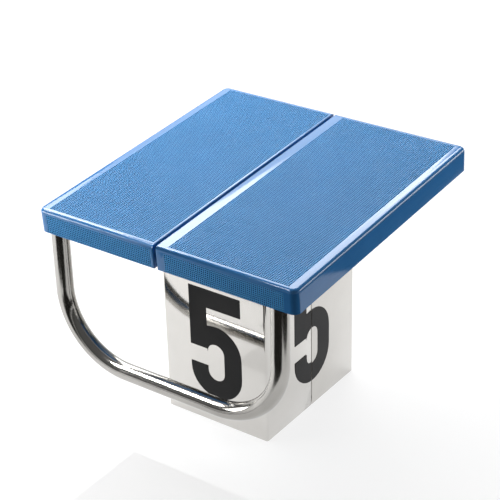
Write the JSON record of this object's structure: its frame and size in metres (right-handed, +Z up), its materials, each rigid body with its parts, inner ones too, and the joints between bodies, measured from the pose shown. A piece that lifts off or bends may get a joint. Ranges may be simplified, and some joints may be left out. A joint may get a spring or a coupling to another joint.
{
  "type": "swimming pool starting block",
  "caption": "Pool starting block: sloping two-part moulded top, bent-tube backstroke grip, boxed stainless pedestal with lane number and a draw-off rear cover.",
  "frame": {"origin": "on the floor, under the middle of the block's bounding box", "axes": "+Z up; +Y from the water towards the deck, up the slope of the platform; +X across the lane, to the right of someone who looks along +Y"},
  "size_m": [0.6, 0.6216, 0.5151],
  "materials": {
    "blue_moulding": "glossy gel-coated glass-reinforced plastic with a fine moulded waffle grip on the top and front",
    "polished_stainless": "polished stainless steel",
    "satin_stainless": "satin stainless steel, welded",
    "bright_fasteners": "bright machined stainless steel",
    "black_film": "black self-adhesive vinyl film"
  },
  "bodies": {
    "block": {"anchor_nut_1": "bright_fasteners", "anchor_nut_2": "bright_fasteners", "anchor_nut_3": "bright_fasteners", "anchor_nut_4": "bright_fasteners", "anchor_stud_1": "bright_fasteners", "anchor_stud_2": "bright_fasteners", "anchor_stud_3": "bright_fasteners", "anchor_stud_4": "bright_fasteners", "anchor_washer_1": "bright_fasteners", "anchor_washer_2": "bright_fasteners", "anchor_washer_3": "bright_fasteners", "anchor_washer_4": "bright_fasteners", "backstroke_grip": "polished_stainless", "base_plate": "satin_stainless", "column": "satin_stainless", "front_crossbar": "satin_stainless", "front_gusset": "satin_stainless", "front_inner_crossbar": "satin_stainless", "front_number": "black_film", "front_shell": "polished_stainless", "head_plate": "satin_stainless", "head_plate_bolt_1": "bright_fasteners", "head_plate_bolt_2": "bright_fasteners", "head_plate_bolt_3": "bright_fasteners", "head_plate_bolt_4": "bright_fasteners", "left_grip_bolt_1": "bright_fasteners", "left_grip_bolt_2": "bright_fasteners", "left_grip_flange": "satin_stainless", "left_lap_strip": "satin_stainless", "left_number_front_lower": "black_film", "left_number_front_upper": "black_film", "left_panel_bolt_1": "bright_fasteners", "left_panel_bolt_2": "bright_fasteners", "left_panel_bolt_3": "bright_fasteners", "left_panel_bolt_4": "bright_fasteners", "left_shell_bracket": "satin_stainless", "left_side_rail": "satin_stainless", "left_top_panel": "blue_moulding", "rear_crossbar": "satin_stainless", "rear_gusset": "satin_stainless", "rear_inner_crossbar": "satin_stainless", "right_grip_bolt_1": "bright_fasteners", "right_grip_bolt_2": "bright_fasteners", "right_grip_flange": "satin_stainless", "right_lap_strip": "satin_stainless", "right_number_front_lower": "black_film", "right_number_front_upper": "black_film", "right_panel_bolt_1": "bright_fasteners", "right_panel_bolt_2": "bright_fasteners", "right_panel_bolt_3": "bright_fasteners", "right_panel_bolt_4": "bright_fasteners", "right_shell_bracket": "satin_stainless", "right_side_rail": "satin_stainless", "right_top_panel": "blue_moulding"},
    "rear_cover": {"rear_shell": "polished_stainless", "rear_number": "black_film", "right_number_rear_upper": "black_film", "right_number_rear_lower": "black_film", "left_number_rear_upper": "black_film", "left_number_rear_lower": "black_film"}
  },
  "joints": [
    {"name": "rear_cover_slide", "type": "slide", "parent": "block", "child": "rear_cover", "axis": [0, 1, 0], "range_m": [0, 0.3]}
  ]
}
